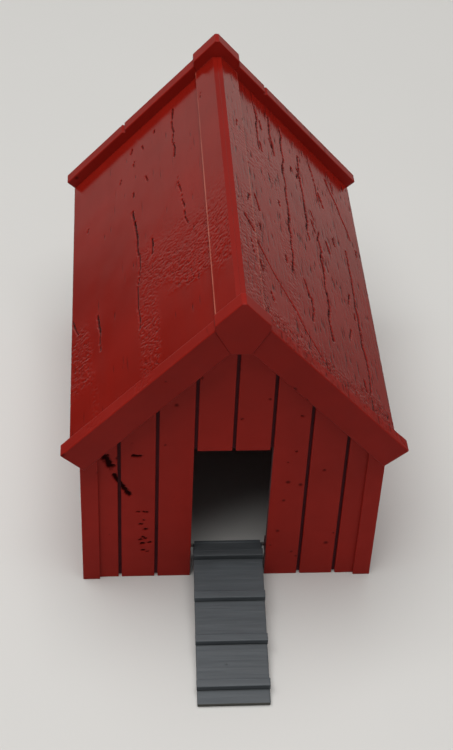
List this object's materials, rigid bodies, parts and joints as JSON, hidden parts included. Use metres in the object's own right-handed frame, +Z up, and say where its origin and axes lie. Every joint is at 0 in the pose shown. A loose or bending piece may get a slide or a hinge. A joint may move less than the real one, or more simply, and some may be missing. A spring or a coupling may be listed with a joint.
{
  "type": "model chicken coop",
  "caption": "Small-scale model chicken coop: gabled board-clad house with a steep lipped roof, open pop hole and a cleated ramp hinged behind the doorway.",
  "frame": {"origin": "on the ground, below the middle of the whole model's box, ramp included", "axes": "+X to the right seen from the front, +Y from the front (ramp) to the rear, +Z up"},
  "size_m": [0.0818, 0.1494, 0.0933],
  "materials": {
    "red_boards": "satin red paint on upright boards, chipped in places",
    "red_roof": "semi-gloss red paint, with patches of rough worm-like texture and fine cracks along the ridge",
    "red_trim": "semi-gloss red paint, smooth, brighter along the edges",
    "dark_red_sheet": "thin dull dark red paint on the inside and in the grooves",
    "grey_ramp": "satin blue-grey with fine lines across",
    "steel_pin": "drawn wire"
  },
  "bodies": {
    "house": {"front_wall": "dark_red_sheet", "rear_wall": "dark_red_sheet", "left_wall": "dark_red_sheet", "right_wall": "dark_red_sheet", "front_board_1": "red_boards", "front_board_2": "red_boards", "front_board_3": "red_boards", "front_board_4": "red_boards", "front_board_5": "red_boards", "front_board_6": "red_boards", "front_board_7": "red_boards", "front_board_8": "red_boards", "rear_board_1": "red_boards", "rear_board_2": "red_boards", "rear_board_3": "red_boards", "rear_board_4": "red_boards", "rear_board_5": "red_boards", "rear_board_6": "red_boards", "rear_board_7": "red_boards", "rear_board_8": "red_boards", "left_board_1": "red_boards", "left_board_2": "red_boards", "left_board_3": "red_boards", "left_board_4": "red_boards", "left_board_5": "red_boards", "left_board_6": "red_boards", "left_board_7": "red_boards", "left_board_8": "red_boards", "left_board_9": "red_boards", "left_board_10": "red_boards", "left_board_11": "red_boards", "right_board_1": "red_boards", "right_board_2": "red_boards", "right_board_3": "red_boards", "right_board_4": "red_boards", "right_board_5": "red_boards", "right_board_6": "red_boards", "right_board_7": "red_boards", "right_board_8": "red_boards", "right_board_9": "red_boards", "right_board_10": "red_boards", "right_board_11": "red_boards", "corner_trim_front_left": "red_trim", "corner_trim_front_right": "red_trim", "corner_trim_rear_left": "red_trim", "corner_trim_rear_right": "red_trim", "rake_front_left": "red_trim", "rake_front_right": "red_trim", "rake_rear_left": "red_trim", "rake_rear_right": "red_trim", "peak_plate_front": "red_trim", "peak_plate_rear": "red_trim", "roof_left": "red_roof", "roof_right": "red_roof", "ridge_board_left": "red_roof", "ridge_board_right": "red_roof", "hinge_rod": "steel_pin", "hinge_blocks": "dark_red_sheet"},
    "ramp": {"ramp_deck": "grey_ramp", "ramp_cleats": "grey_ramp"}
  },
  "joints": [
    {"name": "ramp_hinge", "type": "hinge", "parent": "house", "child": "ramp", "pos_m": [0, -0.03009, 0.0075], "axis": [-1, 0, 0], "range_deg": [0, 90]}
  ]
}
